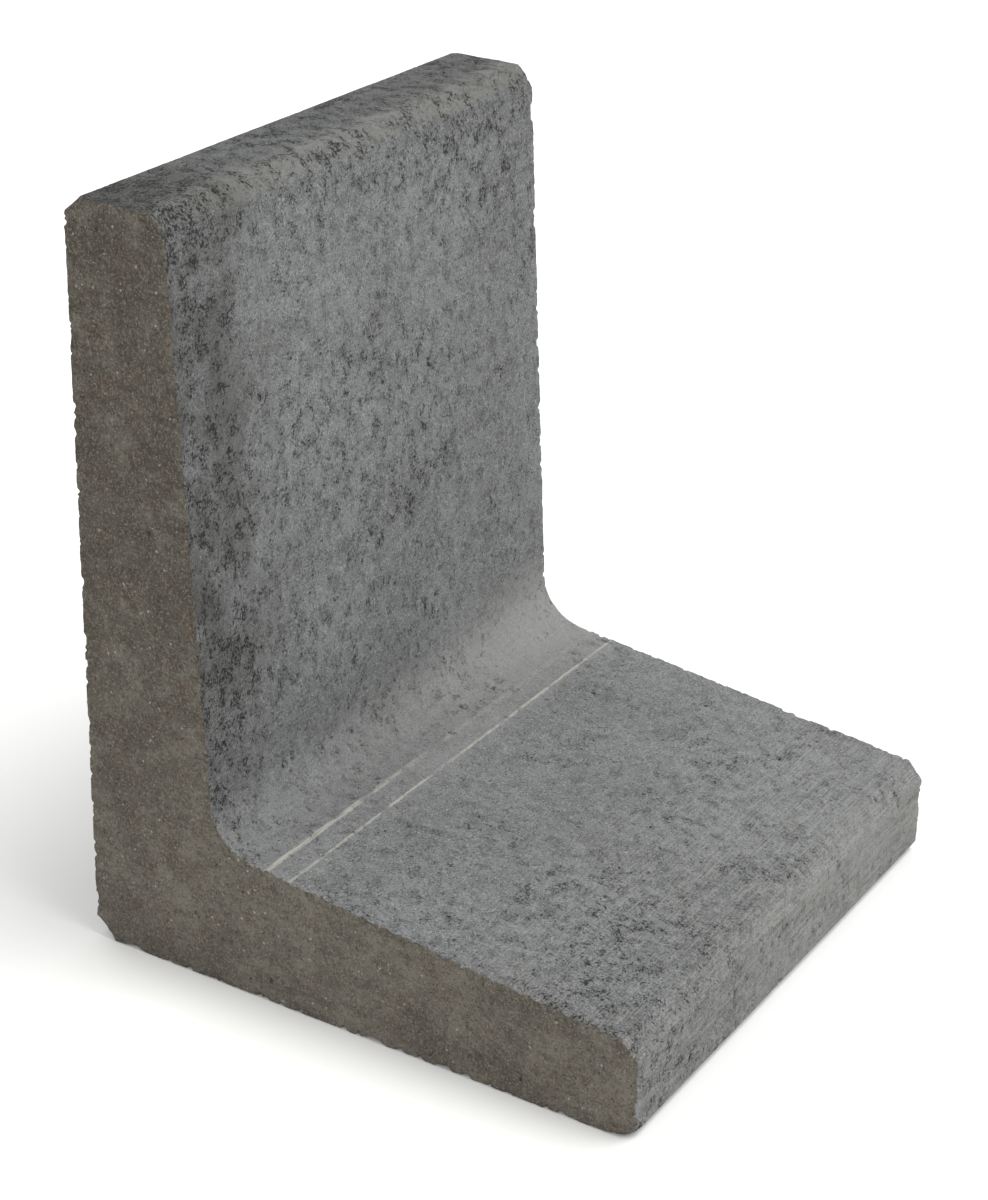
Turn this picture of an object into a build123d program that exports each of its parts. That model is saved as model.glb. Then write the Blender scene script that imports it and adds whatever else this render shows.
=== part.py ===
from build123d import *

import os

# A precast concrete L-block: a thick upright stem standing on the back edge of a wedge-shaped foot.
# Blocks stand side by side as a low retaining wall, kerb or bay divider.
# The casting hides a tied steel cage: bars bent to an L, straight cross bars tied to them with
# wire where they meet, and plastic chairs clipped on that keep the cage away from the mould.
# The cage is a single layer near the middle of the stem, so the block can be loaded from either side.
#
# Millimetres. X runs along the wall, -Y points out over the foot, +Z is up.
# The origin is the centre of the block's base.

# ---- the casting ----
HEIGHT = 500.0
WIDTH = 400.0
DEPTH = 400.0
STEM_TOP = 73.0  # stem thickness at its top
STEM_ROOT = 97.5  # stem thickness where its face would meet the top of the foot
FOOT_ROOT = 98.5  # foot height at that same inner corner
FOOT_TOE = 67.5  # foot height at its free edge
INNER_FILLET = 35.0  # radius in the inner corner
TOP_CHAMFER = 11.0  # foot side of the stem's top
BACK_CHAMFER = 10.0  # back of the stem's top
TOE_CHAMFER = 11.0  # upper edge of the toe
HEEL_CHAMFER = 9.0  # lower back edge
SOLE_CHAMFER = 6.0  # lower edge of the toe

# ---- the cage ----
MAIN_BAR = 8.0  # diameter of the bars bent to an L
CROSS_BAR = 6.0  # diameter of the straight bars along the wall
MAIN_BARS = 4
OUTER_BAR = 50.0  # centre of the first and the last main bar from the block's ends
COVER = 32.0  # concrete behind and below the main bars
END_COVER = 27.0  # concrete past the end of any bar
BEND_RADIUS = 20.0  # of the main bar's centre line
STEM_BARS = 4
LOWEST_STEM_BAR = 90.0  # centre above the base
HIGHEST_STEM_BAR = 38.0  # centre below the top
FOOT_BARS = 3
FIRST_FOOT_BAR = 110.0  # centre from the back
LAST_FOOT_BAR = 38.0  # centre from the toe
BAR_GAP = 0.4  # film of concrete where two bars cross

# ---- the ties ----
WIRE = 1.4  # diameter
WIRE_GAP = 0.3  # film of concrete between a tie and the bars inside it
TIE_CORNER = 2.5  # radius of a tie's bends
END_LENGTH = 9.0  # how far a tie's two ends stand up
END_GAP = 0.4  # film of concrete between them

# ---- the chairs ----
SKIN = 3.0  # concrete left between a chair's feet and the mould
CHAIR_WIDTH = 7.0
CLIP = 4.0  # wall of the clip that grips the bar
CLIP_MOUTH = 5.0  # slot that lets the clip snap over the bar
LEG = 3.5  # thickness of a leg
STANCE = 34.0  # across the outsides of the feet

# ---- worked out from the sizes above ----
BACK = DEPTH / 2
TOE = -DEPTH / 2
main_offset = COVER + MAIN_BAR / 2  # centre of the main bars from the back and from the base
cross_step = (MAIN_BAR + CROSS_BAR) / 2 + BAR_GAP  # from a main bar's centre to a cross bar's
cross_offset = main_offset + cross_step


def spread(first, last, count):
    """So many evenly spaced places, from the first to the last."""
    return [first + (last - first) * i / (count - 1) for i in range(count)]


main_places = spread(OUTER_BAR - WIDTH / 2, WIDTH / 2 - OUTER_BAR, MAIN_BARS)  # X
stem_places = spread(LOWEST_STEM_BAR, HEIGHT - HIGHEST_STEM_BAR, STEM_BARS)  # Z
foot_places = spread(BACK - FIRST_FOOT_BAR, TOE + LAST_FOOT_BAR, FOOT_BARS)  # Y


def from_back(distance):
    """Y of something this far in front of the block's back face."""
    return BACK - distance


def casting_outline():
    """The block's section in the YZ plane, counter-clockwise seen from +X, with a sharp inner corner."""
    foot_slope = (FOOT_ROOT - FOOT_TOE) / (DEPTH - TOE_CHAMFER - STEM_ROOT)
    toe_top = FOOT_ROOT - foot_slope * (DEPTH - STEM_ROOT)
    return [
        (BACK, HEEL_CHAMFER),
        (BACK, HEIGHT - BACK_CHAMFER),
        (BACK - BACK_CHAMFER, HEIGHT),
        (from_back(STEM_TOP - TOP_CHAMFER), HEIGHT),
        (from_back(STEM_TOP), HEIGHT - TOP_CHAMFER),
        (from_back(STEM_ROOT), FOOT_ROOT),
        (TOE + TOE_CHAMFER, FOOT_TOE),
        (TOE, toe_top - TOE_CHAMFER),
        (TOE, SOLE_CHAMFER),
        (TOE + SOLE_CHAMFER, 0),
        (BACK - HEEL_CHAMFER, 0),
    ]


def casting():
    """The whole L in one pour, with its inner corner rounded."""
    section = make_face(Polyline(*[(0, y, z) for y, z in casting_outline()], close=True))
    block = extrude(section, amount=WIDTH / 2, dir=(1, 0, 0), both=True)
    corner = Vector(0, from_back(STEM_ROOT), FOOT_ROOT)
    inner_edge = block.edges().filter_by(Axis.X).sort_by_distance(corner)[0]
    return fillet(inner_edge, INNER_FILLET)


def main_bar(x):
    """One bar bent to an L: up the stem, round the heel and out along the foot."""
    route = FilletPolyline(
        (x, from_back(main_offset), HEIGHT - END_COVER),
        (x, from_back(main_offset), main_offset),
        (x, TOE + END_COVER, main_offset),
        radius=BEND_RADIUS,
    )
    return sweep(Plane(route @ 0, z_dir=route % 0) * Circle(MAIN_BAR / 2), path=route)


def cross_bar(y, z):
    """One straight bar along the wall, between the covers of the two end faces."""
    length = WIDTH - 2 * END_COVER
    return Location((0, y, z), (0, 90, 0)) * Cylinder(CROSS_BAR / 2, length)


def tie():
    """A loop of wire round a crossing, with its two ends standing up side by side over the cross bar.
    Here the main bar lies along Z with its centre at the origin, the cross bar along X, and +Y is
    the way from the main bar to the cross bar. The loop stands on the diagonal between the bars."""
    reach = WIRE_GAP + WIRE / 2
    low = -MAIN_BAR / 2 - reach
    high = cross_step + CROSS_BAR / 2 + reach
    half = (MAIN_BAR / 2 + reach) * 2**0.5
    beside = (WIRE + END_GAP) / 2
    one_side = [(beside, high + END_LENGTH), (beside, high), (half, high), (half, low)]
    other_side = [(-a, b) for a, b in reversed(one_side)]
    corners = [Vector(a, b, 0) for a, b in one_side + other_side]
    route = FilletPolyline(*corners, radius=TIE_CORNER)
    loop = sweep(Plane(route @ 0, z_dir=route % 0) * Circle(WIRE / 2), path=route)
    return Rotation(0, 45, 0) * loop


def chair():
    """A clip-on chair about Z: a clip round the main bar, open towards +Y, on two spread legs."""
    clip_radius = MAIN_BAR / 2 + CLIP
    feet = SKIN - main_offset
    outside = [(-clip_radius, 0), (-STANCE / 2, feet), (STANCE / 2, feet), (clip_radius, 0)]
    between = [(a + LEG if a < 0 else a - LEG, b) for a, b in outside]
    legs = make_face(Polyline(*outside, close=True)) - make_face(Polyline(*between, close=True))
    mouth = Location((0, clip_radius / 2)) * Rectangle(CLIP_MOUTH, clip_radius)
    section = legs + Circle(clip_radius) - mouth - Circle(MAIN_BAR / 2)
    return extrude(section, amount=CHAIR_WIDTH / 2, both=True)


def group(shapes):
    """Several separate solids that share one node."""
    return Compound(children=[solid for shape in shapes for solid in shape.solids()])


def on_stem(x, z):
    """Turns a tie or a chair made round a bar along Z to the stem: +Y becomes the way to the foot."""
    return Location((x, from_back(main_offset), z), (0, 0, 180))


def on_foot(x, y):
    """Turns a tie or a chair made round a bar along Z to the foot: +Y becomes the way up."""
    return Location((x, y, main_offset), (90, 0, 0))


def halfway(places, index):
    """The middle between one place and the next."""
    return (places[index] + places[index + 1]) / 2


def cage():
    """Every piece of the cage, by node name."""
    pieces = {}
    for number, x in enumerate(main_places, 1):
        pieces[f"main_bar_{number}"] = main_bar(x)
    one_tie = tie()
    for number, z in enumerate(stem_places, 1):
        pieces[f"stem_bar_{number}"] = cross_bar(from_back(cross_offset), z)
        pieces[f"stem_ties_{number}"] = group([on_stem(x, z) * one_tie for x in main_places])
    for number, y in enumerate(foot_places, 1):
        pieces[f"foot_bar_{number}"] = cross_bar(y, cross_offset)
        pieces[f"foot_ties_{number}"] = group([on_foot(x, y) * one_tie for x in main_places])
    one_chair = chair()
    for level, gap in {"lower": 0, "upper": STEM_BARS - 2}.items():
        z = halfway(stem_places, gap)
        pieces[f"stem_chairs_{level}"] = group([on_stem(x, z) * one_chair for x in main_places])
    y = halfway(foot_places, FOOT_BARS - 2)
    pieces["foot_chairs"] = group([on_foot(x, y) * one_chair for x in main_places])
    return pieces


def build():
    """All the nodes: the cage, and the casting with the cage's own room left in it."""
    pieces = cage()
    body = casting()
    for piece in pieces.values():
        body = body - piece
    pieces["concrete_body"] = body
    return pieces


os.makedirs("parts", exist_ok=True)
for name, shape in build().items():
    export_step(shape, f"parts/{name}.step")
    print(name, len(shape.solids()), "solids", round(shape.volume), "mm3")
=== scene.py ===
# %% [markdown]
# # A precast concrete L-block
# This block is a small retaining wall unit: an upright stem on a wedge-shaped foot, pressed from
# stiff concrete round a tied cage of steel bars. The CAD model gives its exact sizes. Here it gets
# the skin that a mould leaves on real concrete: pits, drag marks, worn edges and stains.
# The first cell loads the CAD model as a fixed frame. Everything else is placed from it.

# %% Load the frame
import math

import bpy
import numpy as np
from mathutils import Matrix, Vector


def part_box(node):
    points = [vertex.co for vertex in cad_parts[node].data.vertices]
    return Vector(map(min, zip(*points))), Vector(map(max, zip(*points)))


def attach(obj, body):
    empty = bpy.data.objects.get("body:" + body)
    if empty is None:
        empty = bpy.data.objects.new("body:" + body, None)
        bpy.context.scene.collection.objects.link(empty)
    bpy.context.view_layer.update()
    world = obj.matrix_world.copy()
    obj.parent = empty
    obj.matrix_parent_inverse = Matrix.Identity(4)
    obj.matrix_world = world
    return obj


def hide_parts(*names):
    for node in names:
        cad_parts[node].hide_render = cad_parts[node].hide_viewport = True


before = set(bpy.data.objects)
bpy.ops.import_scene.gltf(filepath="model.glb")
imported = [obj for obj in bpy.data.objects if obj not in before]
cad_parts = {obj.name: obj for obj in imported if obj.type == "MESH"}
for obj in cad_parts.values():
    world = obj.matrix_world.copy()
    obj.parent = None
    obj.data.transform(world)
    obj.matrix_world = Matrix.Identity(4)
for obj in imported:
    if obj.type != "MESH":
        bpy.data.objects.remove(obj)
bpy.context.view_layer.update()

MM = 0.001  # every size below is in millimetres times this, because Blender works in metres

# %% [markdown]
# ## The section
# The block is one section carried along X, so its shape is a closed line in the YZ plane. The line
# runs down the back, along the base, up the toe, back over the foot, round the inner corner, up the
# stem and over the top. Overall sizes come from the frame. A moving average along the line rounds
# the chamfers' corners a little, as a mould does.

# %% Sizes of the casting
low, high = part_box("concrete_body")
WIDTH, DEPTH, HEIGHT = high - low
BACK, TOE = high.y, low.y
STEM_TOP = 73 * MM  # stem thickness at its top
STEM_ROOT = 97.5 * MM  # stem thickness where it meets the line of the foot
FOOT_ROOT = 98.5 * MM  # foot height at that corner
FOOT_TOE = 67.5 * MM  # foot height above the toe's chamfer
INNER_FILLET = 35 * MM
TOP_CHAMFER, BACK_CHAMFER, TOE_CHAMFER = 11 * MM, 10 * MM, 11 * MM
HEEL_CHAMFER, SOLE_CHAMFER = 9 * MM, 6 * MM
print("casting", round(WIDTH, 4), "by", round(DEPTH, 4), "by", round(HEIGHT, 4), "m")


# %% The section as one closed line
def inner_arc(corner, above, ahead, radius, count=40):
    """Points on the arc of that radius that touches the line from above to corner and the line from
    corner to ahead. Its centre lies on the bisector, radius / sin(half the angle) from the corner."""
    up = (above - corner) / np.linalg.norm(above - corner)
    out = (ahead - corner) / np.linalg.norm(ahead - corner)
    half = math.acos(up @ out) / 2
    bisector = (up + out) / np.linalg.norm(up + out)
    centre = corner + bisector * radius / math.sin(half)
    first = corner + out * radius / math.tan(half) - centre
    last = corner + up * radius / math.tan(half) - centre
    start, end = (math.atan2(v[1], v[0]) for v in (first, last))
    end += 2 * math.pi * round((start - end) / (2 * math.pi))
    turn = np.linspace(start, end, count)
    return centre + radius * np.stack([np.cos(turn), np.sin(turn)], 1)


slope = (FOOT_ROOT - FOOT_TOE) / (DEPTH - TOE_CHAMFER - STEM_ROOT)
toe_top = FOOT_ROOT - slope * (DEPTH - STEM_ROOT) - TOE_CHAMFER
stem_head = np.array([BACK - STEM_TOP, HEIGHT - TOP_CHAMFER])
foot_end = np.array([TOE + TOE_CHAMFER, FOOT_TOE])
root = np.array([BACK - STEM_ROOT, FOOT_ROOT])
outer_run = [
    (BACK, HEIGHT - BACK_CHAMFER), (BACK, HEEL_CHAMFER),
    (BACK - HEEL_CHAMFER, 0), (TOE + SOLE_CHAMFER, 0),
]
toe_run = [(TOE, SOLE_CHAMFER), (TOE, toe_top)]
inner_run = [foot_end, *inner_arc(root, stem_head, foot_end, INNER_FILLET), stem_head]
top_run = [(BACK - STEM_TOP + TOP_CHAMFER, HEIGHT), (BACK - BACK_CHAMFER, HEIGHT), outer_run[0]]
corners = np.array([*outer_run, *toe_run, *inner_run, *top_run])
reach = np.concatenate([[0], np.cumsum(np.linalg.norm(np.diff(corners, axis=0), axis=1))])

LOOP_STEP = 0.25 * MM
CORNER_SOFTNESS = 0.6 * MM  # spread of the moving average
loop_s = np.linspace(0, reach[-1], int(reach[-1] / LOOP_STEP), endpoint=False)
loop = np.stack([np.interp(loop_s, reach, corners[:, axis]) for axis in (0, 1)], 1)
waves = np.fft.rfftfreq(len(loop_s), loop_s[1])
softener = np.exp(-2 * (math.pi * waves * CORNER_SOFTNESS) ** 2)
loop = np.fft.irfft(np.fft.rfft(loop, axis=0) * softener[:, None], len(loop_s), axis=0)
tangent = np.roll(loop, -1, axis=0) - np.roll(loop, 1, axis=0)
tangent /= np.linalg.norm(tangent, axis=1)[:, None]
outward = np.stack([-tangent[:, 1], tangent[:, 0]], 1)  # left of the way we walk
print("section line", round(reach[-1], 3), "m round,", len(loop), "points")


def on_loop(s, values):
    """Values given at the points of the section line, read at any distance s along it."""
    s = np.mod(s, reach[-1])
    wrapped = np.append(loop_s, reach[-1])
    columns = np.atleast_2d(values.T)
    read = [np.interp(s, wrapped, np.append(column, column[0])) for column in columns]
    return np.stack(read, -1) if values.ndim > 1 else read[0]


# %% [markdown]
# ## A grid over the whole skin
# A closed skin of squares is easiest to make as a bent box. One grid direction runs along the L,
# one goes through its thickness and one along the wall, and only the outside of that box is kept.
# The lines crowd together near the edges, where the surface turns.

# %% Where the grid lines lie
FINE, COARSE, CROWDED = 0.4 * MM, 1.1 * MM, 16 * MM


def graded(length):
    """Places from 0 to length. Their spacing grows evenly from FINE at both ends to COARSE at the
    distance CROWDED from them: the count of lines is the integral of one over the spacing."""
    x = np.linspace(0, length, 4001)
    edge = np.minimum(x, length - x)
    spacing = FINE + (COARSE - FINE) * np.minimum(1, edge / CROWDED)
    count = np.concatenate([[0], np.cumsum(np.diff(x) * (1 / spacing[1:] + 1 / spacing[:-1]) / 2)])
    return np.interp(np.linspace(0, count[-1], round(count[-1]) + 1), count, x)


HEEL_SHARE = 110 * MM  # stretch of back and of base, either side of the heel, that faces the fillet
outer_end, toe_end, stem_start, full = reach[3], reach[6], reach[-4], reach[-1]  # by corner number
heel_in = HEIGHT - BACK_CHAMFER - HEEL_SHARE
heel_out = outer_end - (DEPTH - HEEL_SHARE - SOLE_CHAMFER)
fillet_in, fillet_out = reach[-5], reach[7]
along = graded(outer_end)
outer_marks = [0, heel_in, heel_out, outer_end]
inner_marks = [stem_start, fillet_in, fillet_out, toe_end]
inner_s = np.interp(along, outer_marks, inner_marks)
through = graded((STEM_TOP + FOOT_ROOT) / 2)
through = through / through[-1]
across = graded(WIDTH) - WIDTH / 2
top_s = full + (stem_start - full) * through
toe_s = outer_end + (toe_end - outer_end) * through
print("grid", len(along), "by", len(through), "by", len(across))

# %% The section filled with points
END_FADE = 0.15  # share of the L's length over which the ends' own outline fades to straight rows


def filled_section():
    """Rows from the outer line to the inner line, by straight blending. Near the two ends of the L
    the difference between the end's real outline and a straight row is added, and fades out."""
    b = through[None, :, None]
    outer, inner = on_loop(along, loop), on_loop(inner_s, loop)
    points = (1 - b) * outer[:, None] + b * inner[:, None]
    place = np.linspace(0, 1, len(along))
    for end, s, fade in ((0, top_s, place), (-1, toe_s, 1 - place)):
        extra = on_loop(s, loop) - points[end]
        points = points + (np.clip(1 - fade / END_FADE, 0, 1) ** 2)[:, None, None] * extra[None]
    return points


section = filled_section()
shape = (len(along), len(through), len(across))
on_skin = np.zeros(shape, bool)
on_skin[[0, -1]] = on_skin[:, [0, -1]] = on_skin[:, :, [0, -1]] = True
number = np.cumsum(on_skin.ravel(), dtype=np.int32).reshape(shape) - 1
ia, ib, ix = np.nonzero(on_skin)
print("skin has", len(ia), "points")


def squares(grid, flip):
    """Four point numbers for each square of a sheet of point numbers, the other way round if asked."""
    corners = [grid[:-1, :-1], grid[1:, :-1], grid[1:, 1:], grid[:-1, 1:]]
    return np.stack(corners[::-1] if flip else corners, -1).reshape(-1, 4)


faces = np.concatenate([
    squares(number[:, 0], True), squares(number[:, -1], False),
    squares(number[0], False), squares(number[-1], True),
    squares(number[:, :, 0], False), squares(number[:, :, -1], True),
])
del number, on_skin

# %% [markdown]
# ## Noise in numpy
# Concrete is random at every scale, so its shape comes from a few repeatable random fields. Whole
# arrays of points go in and whole arrays of numbers come out. Each cell of space gets its own
# number by stirring its whole-number place, so it is the same on each run.

# %% Random fields
def stirred(h):
    """Whole 32-bit numbers to random ones from 0 to 1, by shifts, exclusive ors and products that
    overflow."""
    for shift, prime in ((15, 2246822519), (13, 3266489917)):
        h = (h ^ (h >> np.uint32(shift))) * np.uint32(prime)
    return (h ^ (h >> np.uint32(16))).astype(np.float32) / np.float32(2**32)


PRIMES = np.array([73856093, 19349663, 83492791], np.uint32)


def whole(values):
    """The whole numbers at or below values, as wrapped 32-bit numbers that can be hashed."""
    return np.floor(values).astype(np.int64).astype(np.uint32)


def noise(points, size, seed):
    """Smooth noise from -1 to 1 with bumps about as wide as size. Each point takes the random
    numbers of its cell's eight corners, blended by 3t^2 - 2t^3 along each axis. A corner's number
    stirs its three indices, each times its own large prime."""
    p = points / size
    t = (p - np.floor(p)).astype(np.float32)
    t = (t * t * (3 - 2 * t)).T
    cell = (whole(p) * PRIMES).T
    start = np.uint32(seed * 2654435761 % 2**32)
    total = 0
    for corner in np.ndindex(2, 2, 2):
        parts = [c + n * prime for c, n, prime in zip(cell, np.uint32(corner), PRIMES)]
        weights = [v if n else 1 - v for v, n in zip(t, corner)]
        weight = weights[0] * weights[1] * weights[2]
        total = total + weight * stirred(parts[0] ^ parts[1] ^ parts[2] ^ start)
    return 2 * total - 1


def rough(points, size, seed, layers=3):
    """Noise plus finer noise: each layer is half as wide and half as strong as the one before."""
    total = sum(noise(points, size / 2**n, seed + n) / 2**n for n in range(layers))
    return total / (2 - 0.5 ** (layers - 1))


def ramp(value, start, end):
    """0 before start, 1 after end, and a smooth 3t^2 - 2t^3 between."""
    t = np.clip((value - start) / (end - start), 0, 1)
    return t * t * (3 - 2 * t)


def pits(p, q, cell, smallest, largest, chance, seed):
    """Depth of round pits on a flat map (p, q). Each square cell holds at most one pit, at a random
    place and radius. A point takes the deepest of its own and the eight cells around:
    radius * (1 - (distance / radius)^2), where that is positive."""
    i, j = np.floor(p / cell), np.floor(q / cell)
    deepest = np.zeros(len(p), np.float32)
    for di, dj in np.ndindex(3, 3):
        ci, cj = i + di - 1, j + dj - 1
        mixed = whole(ci) * PRIMES[0] ^ whole(cj) * PRIMES[1]
        draw = [stirred(mixed ^ np.uint32(seed * 977 + n * 7919)) for n in range(4)]
        radius = smallest + (largest - smallest) * draw[2] ** 2
        distance2 = (p - (ci + draw[0]) * cell) ** 2 + (q - (cj + draw[1]) * cell) ** 2
        depth = np.where(draw[3] < chance, radius * (1 - distance2 / radius**2), 0)
        deepest = np.maximum(deepest, depth)
    return deepest


# %% [markdown]
# ## Worn edges
# The long edges and the ends' edges of a pressed block are never sharp: paste breaks off as the
# block leaves the mould and later on the pallet. Each edge is rolled over along a quarter circle.
# The circle's radius changes along the edge, and where it is large the edge reads as chipped.

# %% How worn each edge is
EDGE_WEAR = 1.1 * MM
WEAR_SPREAD = 0.9 * MM
WEAR_GRAIN = 0.8 * MM  # finer change of the radius, grain by grain
CHIP = 3.2 * MM  # extra radius in a chip
KNOCKED_TOE = 9 * MM  # extra radius at the lower corner of the toe, on the left end
KNOCKED_REACH = 13 * MM  # how far along the edge that spreads
LEAST_WEAR = 0.35 * MM


def wear_along(side, seed):
    """Radius of the edge between one end face and the sides, at each point of the section line:
    a base, a slow and a fine random part, and chips where a third noise passes a threshold, half
    as deep again along the base."""
    spot = np.column_stack([loop, np.full(len(loop), side * 0.3)])  # another slice of noise per side
    chips = ramp(rough(spot, 5 * MM, seed, 3), 0.1, 0.5)
    base_edge = ramp(loop[:, 1], 7 * MM, 2 * MM)
    radius = EDGE_WEAR + WEAR_SPREAD * rough(spot, 14 * MM, seed + 20)
    radius = radius + CHIP * chips * (1 + 0.5 * base_edge)
    radius = radius + WEAR_GRAIN * rough(spot, 3 * MM, seed + 40, 2)
    if side < 0:
        to_toe = np.hypot(loop[:, 0] - TOE, loop[:, 1])
        radius = radius + KNOCKED_TOE * np.exp(-((to_toe / KNOCKED_REACH) ** 2))
    return np.maximum(radius, LEAST_WEAR)


wear = {side: wear_along(side, 31 + side) for side in (-1, 1)}
for side, radius in wear.items():
    least, most = radius.min() / MM, radius.max() / MM
    print("edge radius", round(least, 2), "to", round(most, 2), "mm at end", side)


# %% The skin before its roughness
def nearest_on_loop(points):
    """For each point, how far along the section line its nearest point lies, and how far away it is.
    Rows of points are compared with every third point of the line."""
    thin = loop[::3].astype(np.float32)
    found, gap = [], []
    for row in points.astype(np.float32):
        d2 = ((row[:, None] - thin[None]) ** 2).sum(-1)
        found.append(d2.argmin(1))
        gap.append(np.sqrt(d2.min(1)))
    return np.array(found) * 3 * loop_s[1], np.array(gap)


near_s, near_gap = nearest_on_loop(section)
last_a, last_b, last_x = (n - 1 for n in shape)
is_end = (ix == 0) | (ix == last_x)
skin_s = np.where(ia == 0, top_s[ib], toe_s[ib])
skin_s = np.where(ib == 0, along[ia], np.where(ib == last_b, inner_s[ia], skin_s))
on_side = (ia == 0) | (ia == last_a) | (ib == 0) | (ib == last_b)
skin_s = np.where(on_side, skin_s, near_s[ia, ib])
side_sign = np.where(across[ix] < 0, -1, 1)
in_x = WIDTH / 2 - np.abs(across[ix])  # distance from the nearer end face
in_section = np.where(on_side, 0, near_gap[ia, ib])  # distance from the sides, on an end face
edge_radius = np.where(side_sign < 0, on_loop(skin_s, wear[-1]), on_loop(skin_s, wear[1]))
edge_gap = np.where(on_side, in_x, in_section)
ON_EDGE = math.pi / 4  # how far the surface has turned where side and end meet
turned = ON_EDGE * np.clip(1 - edge_gap / edge_radius, 0, 1)
far = edge_radius * (1 - np.sin(turned))
near = edge_radius * (1 - np.cos(turned))
rolled = turned > 0
sunk = np.where(on_side, near, np.where(rolled, far, in_section))
pushed = np.where(on_side, np.where(rolled, far, in_x), near)
line_point, line_out = on_loop(skin_s, loop), on_loop(skin_s, outward)
flat_point = section[ia, ib]
in_plane = np.where((on_side | rolled)[:, None], line_point - line_out * sunk[:, None], flat_point)
place = np.column_stack([side_sign * (WIDTH / 2 - pushed), in_plane])
lean_side = np.where(on_side, np.cos(turned), np.sin(turned))
lean_end = np.where(on_side, np.sin(turned), np.cos(turned))
facing = np.column_stack([side_sign * lean_end, line_out * lean_side[:, None]])
end_share = np.where(on_side, 0.5 * turned, ON_EDGE - 0.5 * turned) / ON_EDGE
print("rolled edges hold", int(rolled.sum()), "points")

# %% [markdown]
# ## Pits, waves and knocks
# Stiff concrete doesn't flow, so air stays between its grains and opens at the skin as chains of
# small pits. They gather in patches and stretch along the way the mould moved. The pits here are
# the ones wider than a couple of millimetres. Finer ones are left to the material.

# %% The roughness of the skin
PIT_REACH = 1.5  # how much longer than wide a patch of pits is, up the stem and out along the foot
RIDGES = ((64.0 * MM, 2.0 * MM), (46.5 * MM, 1.2 * MM))  # Y and half width of two ridges on the foot
RIDGE_HEIGHT = 0.35 * MM
DEEPEST = 2.2 * MM
WAVE_DEPTH, WAVE_WIDTH = 0.16 * MM, 55 * MM
GRAIN_DEPTH, GRAIN_WIDTH = 0.10 * MM, 5 * MM
SWAY, SWAY_WIDTH = 1.6 * MM, 3.2 * MM  # how far noise drags the pits' outlines, and its own width


def skin_relief():
    """How far each point of the skin sinks: slow waves, grain, and pits inside patches, less the two
    ridges. The map for the sides unrolls the section line and for the ends it is the YZ plane."""
    grain_point = place * np.array([1, 1 / PIT_REACH, 1 / PIT_REACH])
    waves = WAVE_DEPTH * (1 + rough(place, WAVE_WIDTH, 1)) * (1 - 0.6 * end_share)
    grain = GRAIN_DEPTH * (1 + rough(place, GRAIN_WIDTH, 5, 2))
    sway = SWAY * np.stack([noise(place, SWAY_WIDTH, 8), noise(place, SWAY_WIDTH, 9)])
    p = np.where(end_share > 0.5, place[:, 1], skin_s / PIT_REACH) + sway[0]
    q = np.where(end_share > 0.5, place[:, 2], place[:, 0]) + sway[1]
    patch = ramp(rough(grain_point, 16 * MM, 11), 0.02, 0.42)
    heavy = ramp(rough(place, 90 * MM, 15, 2), -0.5, 0.6)
    crowd = patch * (0.35 + 0.65 * heavy) * (1 - 0.85 * end_share)
    # each kind of pit: width of its cells, smallest and largest radius, share of cells with a pit
    large = pits(p, q, 7 * MM, 1.0 * MM, 2.9 * MM, 0.7, 61) * crowd
    small = pits(p, q, 3.4 * MM, 0.6 * MM, 1.5 * MM, 0.7, 62) * np.minimum(1, 1.4 * crowd)
    bug_holes = pits(q, p, 23 * MM, 0.7 * MM, 2.0 * MM, 0.3, 63) * 0.8
    holes = np.maximum(0.75 * large, np.maximum(0.8 * small, bug_holes))
    on_foot = (ib == last_b) & ~is_end
    gaps = ramp(noise(place * np.array([1, 0.2, 1]), 14 * MM, 21), -0.6, 0.1)
    ridge = sum(np.exp(-(((place[:, 1] - y) / half) ** 2)) for y, half in RIDGES) * gaps * on_foot
    return waves + grain + holes * (1 - 0.7 * ridge) - RIDGE_HEIGHT * ridge, holes


depth, holes = skin_relief()
depth = np.minimum(depth, DEEPEST)
skin = place - facing * depth[:, None]
print("pits cover", round(float((holes > 0.25 * MM).mean()) * 100, 1), "% of the skin's points")

# %% Knocked corners
KNOCKS = (  # a corner as parts of the half width, the half depth and the height, the way that the
    # blow faces, how deep it went and how wide it reached, in millimetres
    ((-1, -1, 0), (-0.45, -0.62, -0.64), 7.5, 40),
    ((1, -1, 0), (0.6, -0.55, -0.58), 4.0, 40),
    ((-1, 0.97, 0.012), (-0.6, 0.56, -0.57), 3.4, 16),
    ((-1, 0.84, 0), (-0.6, 0.1, -0.79), 2.6, 9),
    ((-1, -0.09, 0), (-0.6, 0.1, -0.79), 2.8, 11),
    ((-1, -0.33, 0), (-0.6, -0.1, -0.79), 2.4, 8),
    ((-1, 1, 1), (-0.5, 0.5, 0.7), 8.0, 40),
    ((-1, 0.64, 0.985), (-0.72, -0.6, 0.35), 2.2, 12),
    ((1, 0.64, 0.985), (0.72, -0.6, 0.35), 3.4, 14),
    ((1, 1, 1), (0.5, 0.55, 0.67), 8.0, 40),
    ((-1, 1, 0.82), (-0.7, 0.7, 0.1), 1.3, 9),
    ((-1, 1, 0.31), (-0.7, 0.7, 0.0), 1.5, 12),
    ((1, 1, 0.55), (0.7, 0.7, 0.1), 2.4, 12),
    ((1, -0.4, 0), (0.6, 0.1, -0.79), 2.6, 12),
)
ragged = 0.9 * MM * rough(skin, 4.5 * MM, 77)


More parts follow.
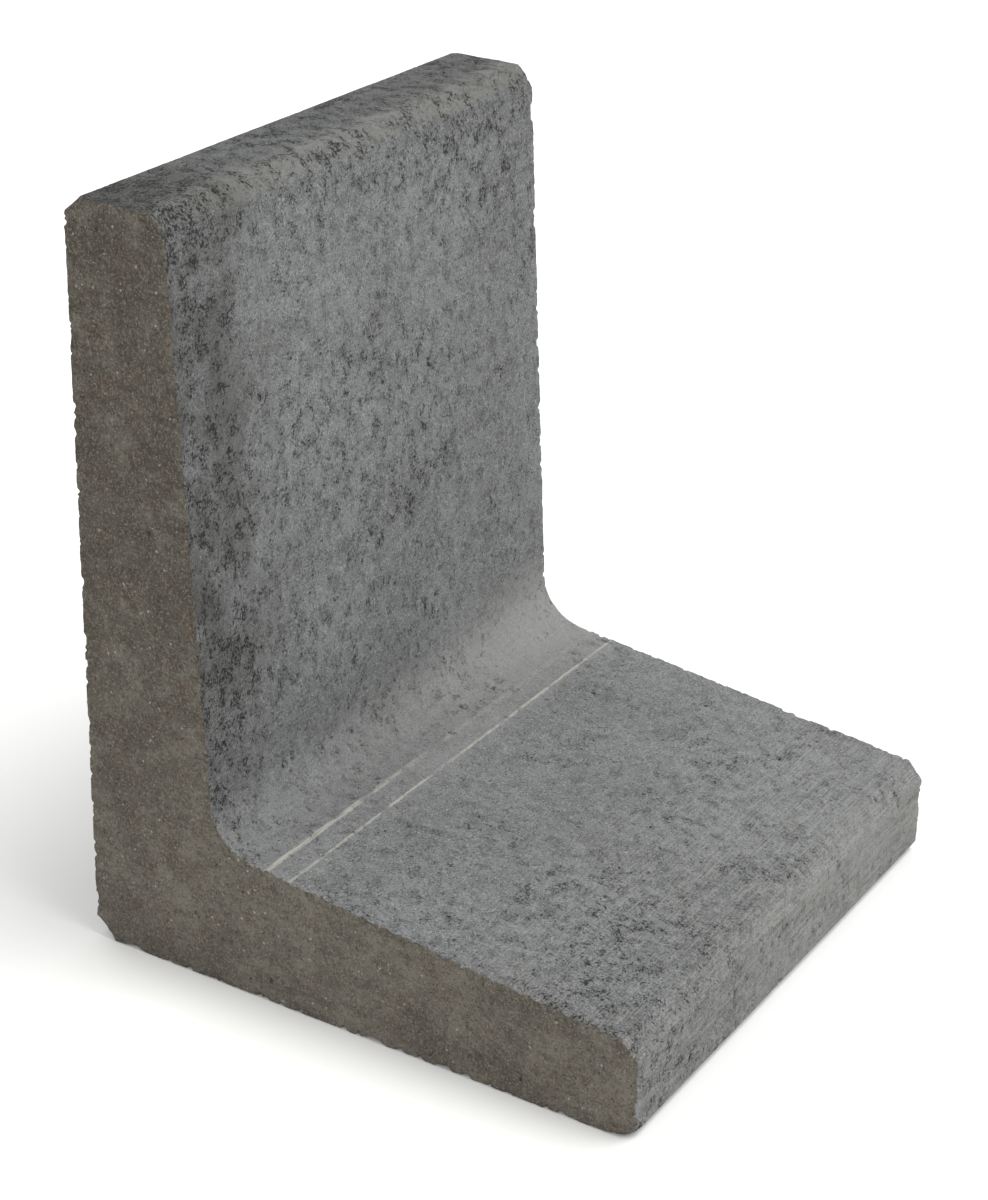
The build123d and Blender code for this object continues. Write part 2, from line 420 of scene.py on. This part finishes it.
def knock(points, at, way, depth, reach):
    """Presses back whatever stands past a rough shallow bowl. The bowl faces the blow, lies that deep
    behind the corner at its middle, and rises with the square of the distance from there."""
    way = np.array(way) / np.linalg.norm(way)
    corner = np.array([at[0] * WIDTH / 2, at[1] * BACK, at[2] * HEIGHT])
    ahead = (points - corner) @ way
    aside2 = ((points - corner) ** 2).sum(1) - ahead**2
    past = ahead + depth * MM * (1 - aside2 / (reach * MM) ** 2) + ragged
    return points - np.maximum(past, 0)[:, None] * way


for knocked in KNOCKS:
    skin = knock(skin, *knocked)
print("skin spans", (skin.max(0) - skin.min(0)).round(4))


# %% [markdown]
# ## From arrays to a mesh
# Blender takes the points and squares as flat arrays. The grid is far denser than the flats need,
# so Decimate collapses it to a set number of triangles. It keeps them where the surface bends:
# in pits and along the worn edges.

# %% Mesh helpers
def mesh_piece(name, points, squares, values=None):
    """An object at the origin from arrays of points and of squares, with a number per point for
    each named attribute, and smooth shading."""
    mesh = bpy.data.meshes.new(name)
    mesh.vertices.add(len(points))
    mesh.vertices.foreach_set("co", points.astype(np.float32).ravel())
    mesh.loops.add(squares.size)
    mesh.loops.foreach_set("vertex_index", squares.astype(np.int32).ravel())
    mesh.polygons.add(len(squares))
    starts = np.arange(0, squares.size, squares.shape[1], dtype=np.int32)
    mesh.polygons.foreach_set("loop_start", starts)
    mesh.update(calc_edges=True)
    mesh.validate()
    for label, numbers in (values or {}).items():
        layer = mesh.attributes.new(label, "FLOAT", "POINT")
        layer.data.foreach_set("value", numbers.astype(np.float32))
    mesh.shade_smooth()
    piece = bpy.data.objects.new(name, mesh)
    bpy.context.scene.collection.objects.link(piece)
    return piece


def thin_out(piece, triangles):
    """Collapses the mesh to about that many triangles, for good."""
    now = sum(len(face.vertices) - 2 for face in piece.data.polygons)
    modifier = piece.modifiers.new("thin", "DECIMATE")
    modifier.ratio = min(1, triangles / now)
    lean = bpy.data.meshes.new_from_object(piece.evaluated_get(bpy.context.evaluated_depsgraph_get()))
    piece.modifiers.clear()
    old, piece.data = piece.data, lean
    bpy.data.meshes.remove(old)
    lean.name = piece.name
    lean.shade_smooth()
    print(piece.name, now, "triangles thinned to", len(lean.polygons))
    return piece


# %% The concrete skin
MOST_TRIANGLES = 194_000
concrete = mesh_piece("concrete_skin", skin, faces, {
    "end_face": end_share,
    "pit": np.clip(holes / (1.2 * MM), 0, 1),
    "wear": turned / ON_EDGE,
})
thin_out(concrete, MOST_TRIANGLES)
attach(concrete, "root")
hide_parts("concrete_body")

# %% [markdown]
# ## The steel cage
# The bars that carry the load are ribbed, hot rolled steel, and their ribs lock them in the
# concrete. A ribbed bar is a tube whose radius changes along and around it. The CAD bars are plain
# cylinders, so each gets a ribbed one in its place, inside the same outline: the ribs reach the
# CAD's diameter and the core between them is thinner.

# %% A ribbed bar along a path
RIB_SPACING = 5.2 * MM
RIB_HEIGHT_SHARE = 0.055  # rib height as a part of the bar's diameter
AROUND = 20


def ribbed(path, side, diameter):
    """Points and squares of a bar. Rings of points stand square to the path. A point's radius is the
    core plus ribs: slanted crescents, one row on each half of the bar, that fade out at the two
    straight ribs along it. Two end caps of one point each close it."""
    ahead = np.gradient(path, axis=0)
    ahead /= np.linalg.norm(ahead, axis=1)[:, None]
    over = np.cross(side, ahead)
    turn = np.linspace(0, 2 * math.pi, AROUND, endpoint=False)
    along = np.concatenate([[0], np.cumsum(np.linalg.norm(np.diff(path, axis=0), axis=1))])
    slant = along[:, None] / RIB_SPACING + np.where(turn < math.pi, 1, -1) * turn * 0.32
    crescent = np.maximum(0, np.cos(2 * math.pi * slant)) ** 2 * np.abs(np.sin(turn)) ** 0.7
    straight = np.abs(np.cos(turn)) ** 24
    radius = diameter * (0.5 - RIB_HEIGHT_SHARE * (1 - np.maximum(crescent, straight)))
    rings = path[:, None] + radius[..., None] * (
        np.cos(turn)[None, :, None] * side + np.sin(turn)[None, :, None] * over[:, None]
    )
    points = np.concatenate([rings.reshape(-1, 3), path[:1], path[-1:]])
    index = np.arange(len(path) * AROUND).reshape(len(path), AROUND)
    index = np.concatenate([index, index[:, :1]], axis=1)
    walls = squares(index, False)
    caps = []
    for centre, ring in ((len(points) - 2, index[0]), (len(points) - 1, index[-1, ::-1])):
        caps.append(np.column_stack([np.full(AROUND, centre), ring[:-1], ring[1:]]))
    walls = np.concatenate([walls[:, [0, 1, 2]], walls[:, [0, 2, 3]]])
    return points, np.concatenate([walls, *caps])


def ribbed_piece(node, path, side, diameter):
    """The ribbed bar that stands for that CAD bar."""
    piece = mesh_piece(node.replace("bar", "ribbed_bar"), *ribbed(path, np.array(side), diameter))
    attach(piece, "root")
    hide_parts(node)
    return piece


# %% The main bars
RING_STEP = 0.9 * MM
BEND = 20 * MM


def bent_path(low, high, radius):
    """Centre line of a bar bent to an L inside a CAD bar's box: down the stem, round a quarter
    circle at the heel, and out along the foot, with a point every RING_STEP."""
    x, y, z = (low.x + high.x) / 2, high.y - radius, low.z + radius
    drop, run = high.z - z - BEND, y - BEND - low.y
    total = drop + math.pi / 2 * BEND + run
    s = np.linspace(0, total, round(total / RING_STEP))
    angle = np.clip((s - drop) / BEND, 0, math.pi / 2)
    out = np.maximum(s - drop - math.pi / 2 * BEND, 0)
    return np.column_stack([
        np.full_like(s, x),
        y - BEND * (1 - np.cos(angle)) - out,
        high.z - np.minimum(s, drop) - BEND * np.sin(angle),
    ])


bars = []
for node in sorted(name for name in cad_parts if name.startswith("main_bar")):
    low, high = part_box(node)
    diameter = high.x - low.x
    bars.append(ribbed_piece(node, bent_path(low, high, diameter / 2), (1, 0, 0), diameter))

# %% The cross bars
for node in sorted(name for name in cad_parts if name.startswith(("stem_bar", "foot_bar"))):
    low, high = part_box(node)
    x = np.arange(low.x, high.x + RING_STEP / 2, (high.x - low.x) / round((high.x - low.x) / RING_STEP))
    y, z = (low.y + high.y) / 2, (low.z + high.z) / 2
    path = np.column_stack([x, np.full_like(x, y), np.full_like(x, z)])
    bars.append(ribbed_piece(node, path, (0, 1, 0), high.z - low.z))
print(len(bars), "ribbed bars,", len(bars[0].data.polygons), "triangles in a main bar")

# %% [markdown]
# ## Materials
# Colours are written as the usual hex values and turned to linear light by one function. One small
# helper adds a node with its settings and links, so each material reads as a short list.

# %% Material helpers
def colour(code):
    """Linear RGBA from an sRGB hex code: each channel c becomes ((c + 0.055) / 1.055)^2.4."""
    channels = [int(code[n:n + 2], 16) / 255 for n in (1, 3, 5)]
    return tuple(c / 12.92 if c <= 0.04045 else ((c + 0.055) / 1.055) ** 2.4 for c in channels) + (1,)


def new_material(name):
    """An empty material with a shader on its output."""
    material = bpy.data.materials.new(name)
    material.use_nodes = True
    material.node_tree.nodes.clear()
    shader = material.node_tree.nodes.new("ShaderNodeBsdfPrincipled")
    output = material.node_tree.nodes.new("ShaderNodeOutputMaterial")
    material.node_tree.links.new(shader.outputs["BSDF"], output.inputs["Surface"])
    return material, shader


def add(tree, kind, inputs=None, output=0, **settings):
    """Adds a node of that kind and gives one of its output sockets. Settings are its properties.
    Inputs, by socket name or number, are other nodes' sockets, plain values or hex colours."""
    node = tree.nodes.new("ShaderNode" + kind)
    for name, value in settings.items():
        setattr(node, name, value)
    for socket, value in (inputs or {}).items():
        if isinstance(value, bpy.types.NodeSocket):
            tree.links.new(value, node.inputs[socket])
        else:
            node.inputs[socket].default_value = colour(value) if isinstance(value, str) else value
    return node.outputs[output]


# %% [markdown]
# ## Patterns
# Every finish here is built from two ideas. A mask says how strong something is from place to
# place: it is a product of smooth ramps, along an axis or through a noise of a real size in
# millimetres. A coat lays one colour over another where a mask is strong. All patterns read the
# object's own coordinates, so they stay on the block whatever looks at it.

# %% Masks and coats
def cloud(vector, millimetres, detail=3.0, roughness=0.55):
    """Inputs of a noise around 0.5 whose bumps are about that wide."""
    return {"Vector": vector, "Scale": 1000 / millimetres, "Detail": detail, "Roughness": roughness}


def mask(tree, place, *parts):
    """The product of all the parts. A part is a socket, a number, or a ramp: a source, its values
    where the ramp starts and ends, and what it becomes there if not 0 and 1. The source is an axis
    of place, the inputs of a noise, or a socket. The ramp is 3t^2 - 2t^3 and level outside."""
    product = None
    for part in parts:
        if isinstance(part, tuple):
            source, start, end, *becomes = part
            if isinstance(source, str):
                source = add(tree, "SeparateXYZ", {0: place}, source)
            elif isinstance(source, dict):
                source = add(tree, "TexNoise", source)
            low, high = becomes or (0.0, 1.0)
            ends = {"From Min": start, "From Max": end, "To Min": low, "To Max": high}
            part = add(tree, "MapRange", {"Value": source, **ends}, interpolation_type="SMOOTHSTEP")
        if product is None:
            product = part
        else:
            product = add(tree, "Math", {0: product, 1: part}, operation="MULTIPLY")
    return product


def coat(tree, place, base, top, *parts):
    """Base covered by top as far as the mask of those parts goes. Each is a hex colour or a socket."""
    share = mask(tree, place, *parts)
    return add(tree, "Mix", {"Factor": share, 6: base, 7: top}, 2, data_type="RGBA")


def grains(tree, place, base, spacing, share, sand):
    """Base with grains of sand of that colour in it. Cells are about spacing millimetres wide, and
    that share of them hold a grain, whose radius is up to a fifth of the spacing and whose rim is
    broken up by fine noise."""
    distance = add(tree, "TexVoronoi", {"Vector": place, "Scale": 1000 / spacing}, "Distance")
    pick = add(tree, "SeparateColor", {0: distance.node.outputs["Color"]})
    size = mask(tree, place, (pick, 1 - share, 1.0, 0.0, min(0.22, 1.1 / spacing)))
    size = add(tree, "Math", {0: size, 1: 0.6 / spacing}, operation="SUBTRACT")
    rim = add(tree, "TexNoise", cloud(place, 1.2, 2))
    edge = add(tree, "Math", {0: rim, 1: 1.2 / spacing, 2: size}, operation="MULTIPLY_ADD")
    inside = add(tree, "Math", {0: edge, 1: distance}, operation="SUBTRACT")
    return coat(tree, place, base, sand, (inside, 0.0, 0.1), 0.7)


# %% [markdown]
# ## Concrete
# The sides were pressed and dragged against steel: grey paste with ragged dark pores, pale grains
# and streaks along the wall. The ends were struck off and stained, so they are brown and blotched.
# Concrete is fully rough, so nearly all of its look is colour and relief. Pores are drawn as painted
# shade by one rule: fine noise turns dark wherever it falls below a level, and the level rises in
# patches, so pores crowd into ragged clusters. Some broad coats paint shade into the inner corner, up
# the left of the stem and on the top, and light onto the toe's face. The patterns of the sides are
# squeezed, so that patches run up the stem and out over the foot.

# %% Where the pressed sides are pitted
def crowding(tree, place, drawn, pit):
    """How crowded the pores are, from 0 to 1: patches a couple of centimetres long, and more of them
    in a band up the left of the stem, under the top edge and at the left of the toe. The rounded
    inner corner and the toe's face were pressed tighter, and have fewer."""
    above_foot = mask(tree, place, ("Z", 0.097, 0.125))
    on_back = mask(tree, place, ("Y", 0.15, 0.19))
    stem_side = add(tree, "Math", {0: above_foot, 1: on_back}, operation="MAXIMUM")
    left = mask(tree, place, ("X", -0.115, -0.195), stem_side)
    under_top = mask(tree, place, ("Z", 0.45, 0.487))
    toe_left = mask(tree, place, ("Y", -0.05, -0.15), ("X", 0.05, -0.15))
    bands = 0.0
    for band, weight in ((left, 0.6), (under_top, 0.35), (toe_left, 0.46)):
        bands = add(tree, "Math", {0: band, 1: weight, 2: bands}, operation="MULTIPLY_ADD")
    amount = mask(tree, place, (cloud(place, 70, 2), 0.35, 0.65, 0.24, 0.66))
    for more, weight in ((stem_side, 0.22), (bands, 0.55)):
        amount = add(tree, "Math", {0: more, 1: weight, 2: amount}, operation="MULTIPLY_ADD")
    patches = mask(tree, place, (cloud(drawn, 9, 5, 0.72), 0.42, 0.68), amount)
    crowd = add(tree, "Math", {0: bands, 1: 0.5, 2: patches}, operation="MULTIPLY_ADD")
    corner = mask(tree, place, ("Z", 0.145, 0.115), ("Y", 0.036, 0.06))
    tight = add(tree, "Math", {0: corner, 1: -0.25, 2: 1.0}, operation="MULTIPLY_ADD")
    crowd = mask(tree, place, crowd, tight, ("Y", -0.186, -0.196, 1.0, 0.8))
    # deeper pits crowd the pores, whose dark is painted shade
    crowd = add(tree, "Math", {0: pit, 1: 0.5, 2: crowd}, operation="MULTIPLY_ADD")
    return add(tree, "Math", {0: crowd, 1: 1.0}, operation="MINIMUM")


PORE_LEVELS = 0.35, 0.515  # of the fine noise: where no pores crowd, and where they crowd most


def pores(tree, place, drawn, crowd):
    """Painted shade of the pores: dark where fine noise falls below a level that rises with the
    crowding, and along the thin lines where a second noise crosses its middle value, inside crowded
    patches."""
    level = mask(tree, place, (crowd, 0.0, 1.0, *PORE_LEVELS))
    fine = add(tree, "TexNoise", cloud(drawn, 1.8, 4, 0.8))
    below = add(tree, "Math", {0: level, 1: fine}, operation="SUBTRACT")
    specks = mask(tree, place, (below, -0.01, 0.06))
    other = add(tree, "TexNoise", cloud(drawn, 2.4, 4, 0.75))
    off_middle = add(tree, "Math", {0: other, 1: 0.5}, operation="SUBTRACT")
    off_middle = add(tree, "Math", {0: off_middle}, operation="ABSOLUTE")
    lines = mask(tree, place, (off_middle, 0.02, 0.0), (crowd, 0.05, 0.5), 0.4)
    return add(tree, "Math", {0: specks, 1: lines}, operation="MAXIMUM")

# %% Colour of the pressed sides
RIDGE_SIDES = ((0.06, -0.14), (-0.45, 0.10))  # X where each ridge is faint, and where it is full


def side_colour(tree, place, drawn, streaked, dark):
    """Bluish grey paste, mottled at five sizes with painted shade in the gaps between grains, streaked
    along the wall near the toe, with pale ridges on the foot, paste on the toe's face lightened as
    painted light, painted shade at the stem's root, up the left of the stem and on the top, and
    painted shade in the pores last. Each row of a list is one coat: its colour, and the parts of its
    mask."""
    skin = "#747576"
    on_foot = mask(tree, place, ("Z", 0.14, 0.10))
    mottles_and_gap_shade = (
        ("#7d7f80", (cloud(place, 95, 2), 0.38, 0.62)),  # broad change of tone
        ("#5a5b59", (cloud(drawn, 10, 5, 0.65), 0.42, 0.70), 0.6),  # damp paste
        ("#8d8f90", (cloud(drawn, 6, 3, 0.6), 0.48, 0.72), 0.5),  # dry paste
        ("#333331", (cloud(drawn, 1.5, 3, 0.85), 0.50, 0.31), 0.95),  # painted shade in the gaps between grains
        ("#b0b0ac", (cloud(place, 1.2, 2, 0.85), 0.52, 0.72), 0.75),  # bare grains
        # drag lines, more of them towards the toe
        ("#9a9a95", (cloud(streaked, 1.1, 4, 0.75), 0.46, 0.64), ("Y", -0.03, -0.15, 0.06, 0.6), on_foot),
    )
    for layer in mottles_and_gap_shade:
        skin = coat(tree, place, skin, *layer)
    for (ridge, half), (faint, fullest) in zip(RIDGES, RIDGE_SIDES):
        y = add(tree, "SeparateXYZ", {0: place}, "Y")
        off = add(tree, "Math", {0: y, 1: ridge}, operation="SUBTRACT")
        off = add(tree, "Math", {0: off}, operation="ABSOLUTE")
        wander = add(tree, "TexNoise", cloud(place, 7, 4, 0.7))
        off = add(tree, "Math", {0: wander, 1: 1.2 * half, 2: off}, operation="MULTIPLY_ADD")
        line = (off, 2.0 * half, 0.9 * half)
        broken = (cloud(streaked, 1.0, 5, 0.75), 0.36, 0.54)
        dashes = (cloud(place, 26, 4, 0.7), 0.36, 0.5)
        sideways = ("X", faint, fullest, 0.15, 0.95)
        skin = coat(tree, place, skin, "#bcbab0", line, broken, dashes, sideways, on_foot)
    x, y, z = (add(tree, "SeparateXYZ", {0: place}, axis) for axis in "XYZ")
    toe_waves = add(tree, "TexNoise", cloud(streaked, 6, 4))
    top_waves = add(tree, "TexNoise", cloud(place, 9, 4))
    toe_edge = add(tree, "Math", {0: toe_waves, 1: 0.012, 2: y}, operation="MULTIPLY_ADD")
    top_edge = add(tree, "Math", {0: top_waves, 1: 0.03, 2: y}, operation="MULTIPLY_ADD")
    top = (z, 0.487, 0.493)
    across_foot = (y, 0.05, 0.075), (y, 0.14, 0.12)
    stains_and_painted_light = (
        # paste on the toe's face: paler in itself, and lightened further as painted light
        ("#8d8c86", (toe_edge, -0.174, -0.190), (cloud(streaked, 5, 5, 0.7), 0.40, 0.64), 0.42),
        # rubbed inner corner
        ("#92938f", (y, 0.03, 0.05), (z, 0.15, 0.11), (x, -0.16, 0.06, 0.4, 1.0), 0.34),
        ("#9a9a96", (x, 0.0, 0.18), (z, 0.16, 0.12), *across_foot, 0.4),  # rubbed right of the foot
        ("#585957", (x, 0.14, -0.06), (z, 0.17, 0.13), *across_foot, 0.22),  # painted shade at the stem's root, on the left of the foot
        ("#474845", top, 0.45),  # painted shade on the top
        ("#8f8f8a", top, (top_edge, 0.172, 0.155), 0.45),  # its front lip, rubbed clean
        # painted shade up the left of the stem
        ("#52514d", (x, -0.08, -0.19), (z, 0.1, 0.26), (cloud(drawn, 34, 3), 0.35, 0.6, 0.25, 0.8)),
        ("#232322", dark, 0.9),  # painted shade in the pores
    )
    for layer in stains_and_painted_light:
        skin = coat(tree, place, skin, *layer)
    return grains(tree, place, skin, 10.0, 0.2, "#c4c2ba")


# %% Colour of the ends
def end_colour(tree, place, pit):
    """Brown paste: redder and darker above, greyer below, clouded with lime, with sand in it, and
    painted shade in the gaps between grains and in the deeper pits.
    """
    z = add(tree, "SeparateXYZ", {0: place}, "Z")
    waves = add(tree, "TexNoise", cloud(place, 60, 3))
    height = add(tree, "Math", {0: waves, 1: 0.2, 2: z}, operation="MULTIPLY_ADD")
    layers = add(tree, "Mapping", {"Vector": place, "Scale": (1, 0.3, 1)})
    end = "#5b564d"
    coats = (
        ("#706b62", (height, 0.36, 0.12)),  # greyer towards the base
        # level layers of the fill, plainer above
        ("#413c35", (cloud(layers, 6, 4, 0.7), 0.42, 0.66), (z, 0.12, 0.4, 0.4, 0.75)),
        ("#4b4740", (cloud(place, 9, 5, 0.7), 0.44, 0.70), 0.5),  # damp blotches
        ("#7c786f", (cloud(place, 22, 5, 0.7), 0.47, 0.68), 0.7),  # lime
        ("#4a453e", (cloud(place, 48, 4, 0.65), 0.45, 0.62), 0.5),  # broad damp
        ("#5f493d", (cloud(place, 15, 5, 0.7), 0.54, 0.68), 0.4),  # iron stain
        ("#857f73", (cloud(place, 3.4, 5, 0.78), 0.52, 0.68), 0.5),  # scuffs
        ("#918c80", (cloud(place, 1.5, 3, 0.8), 0.51, 0.71), 0.9),  # bare grains
        ("#26221f", (cloud(place, 1.7, 4, 0.8), 0.50, 0.28), 0.95),  # painted shade in the gaps between grains
    )
    for layer in coats:
        end = coat(tree, place, end, *layer)
    for sand in ((3.2, 0.10, "#a5947c"), (8.0, 0.14, "#7d6453"), (5.0, 0.13, "#aaa598")):
        end = grains(tree, place, end, *sand)
    # painted shade in the deeper pits
    return coat(tree, place, end, "#25211d", (pit, 0.15, 0.8), 0.6)


# %% Concrete material
def concrete_material():
    """Grey pressed sides and brown ends, told apart by the end_face attribute with a ragged border,
    and pale paste where the edges wore. The relief is the sum of four grains, less the pores."""
    material, shader = new_material("pressed_concrete")
    tree = material.node_tree
    place = add(tree, "TexCoord", output="Object")
    drawn = add(tree, "Mapping", {"Vector": place, "Scale": (1, 0.85, 0.85)})
    streaked = add(tree, "Mapping", {"Vector": place, "Scale": (0.04, 1, 1)})
    names = ("end_face", "pit", "wear")
    end_face, pit, worn = (add(tree, "Attribute", output="Fac", attribute_name=name) for name in names)
    dark = pores(tree, place, drawn, crowding(tree, place, drawn, pit))
    fringe = mask(tree, place, (cloud(place, 4, 5, 0.7), 0.3, 0.7, -0.4, 0.4))
    border = add(tree, "Math", {0: end_face, 1: fringe}, operation="ADD")
    is_end = mask(tree, place, (border, 0.42, 0.58))
    sides, ends = side_colour(tree, place, drawn, streaked, dark), end_colour(tree, place, pit)
    skin = coat(tree, place, sides, ends, is_end)
    bare = (cloud(place, 2.6, 4, 0.7), 0.44, 0.62, 0.0, 0.8)
    skin = coat(tree, place, skin, "#857c6e", (worn, 0.2, 0.9), bare, ("Z", 0.002, 0.012, 0.15, 1.0))
    tree.links.new(skin, shader.inputs["Base Color"])

    sides_only = add(tree, "Math", {0: 1.0, 1: is_end}, operation="SUBTRACT")
    pressed_pores = mask(tree, place, dark, sides_only)
    struck = mask(tree, place, add(tree, "TexNoise", cloud(place, 6, 6, 0.68)), is_end)
    fine = add(tree, "TexNoise", cloud(place, 1.3, 3, 0.65))
    grain = add(tree, "TexNoise", cloud(drawn, 4.2, 3, 0.6))
    rub = add(tree, "TexNoise", cloud(streaked, 2.0, 3))
    patterns = (fine, 0.5), (grain, 0.6), (rub, 0.4), (struck, 2.8), (pressed_pores, -0.9)
    height = 0.0
    for pattern, weight in patterns:
        height = add(tree, "Math", {0: pattern, 1: weight, 2: height}, operation="MULTIPLY_ADD")
    relief = add(tree, "Bump", {"Height": height, "Distance": 1.0 * MM, "Strength": 1.0})
    tree.links.new(relief, shader.inputs["Normal"])
    shader.inputs["Roughness"].default_value = 0.92
    shader.inputs["IOR"].default_value = 1.5
    shader.inputs["Specular IOR Level"].default_value = 0.25
    return material


concrete.data.materials.append(concrete_material())
print("concrete finished")

# %% [markdown]
# ## Steel and plastic
# Bars leave the rolling mill with a blue-grey scale, and rust in spots before they are cast in.
# Tie wire is annealed, so it is soft, dark and dull. Chairs are moulded from recycled
# polypropylene: grey, faintly marbled, with a low sheen.

# %% Materials of the cage
def rolled_steel():
    """Mill scale, part metal and part oxide, with rust where a noise is high."""
    material, shader = new_material("rolled_steel")
    tree = material.node_tree
    place = add(tree, "TexCoord", output="Object")
    rust = mask(tree, place, (cloud(place, 9, 4, 0.65), 0.48, 0.62))
    scale = coat(tree, place, "#4a4c50", "#63656a", (cloud(place, 3), 0.35, 0.65))
    rusty = coat(tree, place, "#6b3d24", "#8f5a36", (cloud(place, 2), 0.35, 0.65))
    tree.links.new(coat(tree, place, scale, rusty, rust), shader.inputs["Base Color"])
    tree.links.new(mask(tree, place, (rust, 0, 1, 0.8, 0.05)), shader.inputs["Metallic"])
    tree.links.new(mask(tree, place, (rust, 0, 1, 0.45, 0.85)), shader.inputs["Roughness"])
    flakes = add(tree, "TexNoise", cloud(place, 0.8))
    relief = add(tree, "Bump", {"Height": flakes, "Distance": 0.08 * MM, "Strength": 0.7})
    tree.links.new(relief, shader.inputs["Normal"])
    return material


def annealed_wire():
    """Dark dull iron wire, slightly blotched by the furnace."""
    material, shader = new_material("annealed_wire")
    tree = material.node_tree
    place = add(tree, "TexCoord", output="Object")
    blotch = mask(tree, place, (cloud(place, 2), 0.35, 0.65))
    tree.links.new(coat(tree, place, "#3a3836", "#5a554f", blotch), shader.inputs["Base Color"])
    tree.links.new(mask(tree, place, (blotch, 0, 1, 0.42, 0.6)), shader.inputs["Roughness"])
    shader.inputs["Metallic"].default_value = 0.9
    return material


def recycled_polypropylene():
    """Grey moulded plastic with faint marbling and a fine spark-eroded texture."""
    material, shader = new_material("recycled_polypropylene")
    tree = material.node_tree
    place = add(tree, "TexCoord", output="Object")
    marbled = coat(tree, place, "#6a6d70", "#84878a", (cloud(place, 14, 5, 0.7), 0.4, 0.6))
    tree.links.new(marbled, shader.inputs["Base Color"])
    sparks = add(tree, "TexNoise", cloud(place, 0.5, 2))
    relief = add(tree, "Bump", {"Height": sparks, "Distance": 0.03 * MM, "Strength": 0.6})
    tree.links.new(relief, shader.inputs["Normal"])
    shader.inputs["Roughness"].default_value = 0.45
    shader.inputs["IOR"].default_value = 1.49
    return material


# %% Materials onto the cage
steel, wire, plastic = rolled_steel(), annealed_wire(), recycled_polypropylene()
for bar in bars:
    bar.data.materials.append(steel)
for name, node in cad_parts.items():
    if "ties" in name or "chairs" in name:
        node.data.materials.clear()
        node.data.materials.append(wire if "ties" in name else plastic)
print("cage finished")

# %% [markdown]
# ## Light, floor and camera
# Plain soft studio light: a bright even sky and one broad light from above the foot, with two weak
# lamps for the ends and the back. The broad light is a sun with a wide disc, because a sun lights
# the floor evenly right out to the horizon. The floor is pale, and throws light back up at the toe.

# %% Floor and lights
FLOOR_SIZE = 16.0
floor_corners = np.array([[-1, -1, 0], [1, -1, 0], [1, 1, 0], [-1, 1, 0]]) * FLOOR_SIZE / 2
floor = mesh_piece("floor", floor_corners, np.array([[0, 1, 2, 3]]))
floor_material, floor_shader = new_material("studio_floor")
floor_shader.inputs["Base Color"].default_value = colour("#fafaf8")
floor_shader.inputs["Roughness"].default_value = 0.9
floor.data.materials.append(floor_material)


def lamp(name, kind, position, power, **settings):
    """A lamp of that kind at position, turned to the middle of the block."""
    data = bpy.data.lights.new(name, kind)
    data.energy = power
    for setting, value in settings.items():
        setattr(data, setting, value)
    holder = bpy.data.objects.new(name, data)
    holder.location = position
    aim = Vector((0, 0, HEIGHT / 2)) - Vector(position)
    holder.rotation_euler = aim.to_track_quat("-Z", "Y").to_euler()
    bpy.context.scene.collection.objects.link(holder)


lamp("key", "SUN", (0.5, -1.3, 3.2), 1.8, angle=math.radians(38))
lamp("left_fill", "AREA", (-2.6, -0.9, 1.6), 11, size=1.8)
lamp("back_fill", "AREA", (1.2, 2.8, 1.7), 16, size=2.0)

SKY, SKY_SEEN = 0.69, 1.0  # the sky's light, and how bright the backdrop itself looks
world = bpy.data.worlds.new("studio")
world.use_nodes = True
background = world.node_tree.nodes["Background"]
background.inputs["Color"].default_value = colour("#ffffff")
seen = add(world.node_tree, "LightPath", output="Is Camera Ray")
strength = add(world.node_tree, "MapRange", {"Value": seen, "To Min": SKY, "To Max": SKY_SEEN})
world.node_tree.links.new(strength, background.inputs["Strength"])
bpy.context.scene.world = world
bpy.context.scene.view_settings.view_transform = "Standard"

# %% Camera
AZIMUTH, ELEVATION, ROLL = math.radians(-58.75), math.radians(25.93), math.radians(1.44)
DISTANCE = 1.7367
TARGET = Vector((-0.02218, 0.0125, 0.22238))
backwards = Vector((
    math.sin(AZIMUTH) * math.cos(ELEVATION),
    -math.cos(AZIMUTH) * math.cos(ELEVATION),
    math.sin(ELEVATION),
))
level_right = backwards.cross(Vector((0, 0, -1))).normalized()
level_up = backwards.cross(level_right)
right = math.cos(ROLL) * level_right + math.sin(ROLL) * level_up
up = math.cos(ROLL) * level_up - math.sin(ROLL) * level_right
camera_data = bpy.data.cameras.new("camera")
camera_data.lens, camera_data.sensor_width = 82.3, 36
camera_data.clip_end = 50
camera = bpy.data.objects.new("camera", camera_data)
turn = Matrix((right, up, backwards)).transposed().to_4x4()
camera.matrix_world = Matrix.Translation(TARGET + backwards * DISTANCE) @ turn
bpy.context.scene.collection.objects.link(camera)
bpy.context.scene.camera = camera
print("camera at", tuple(round(v, 3) for v in camera.matrix_world.translation))
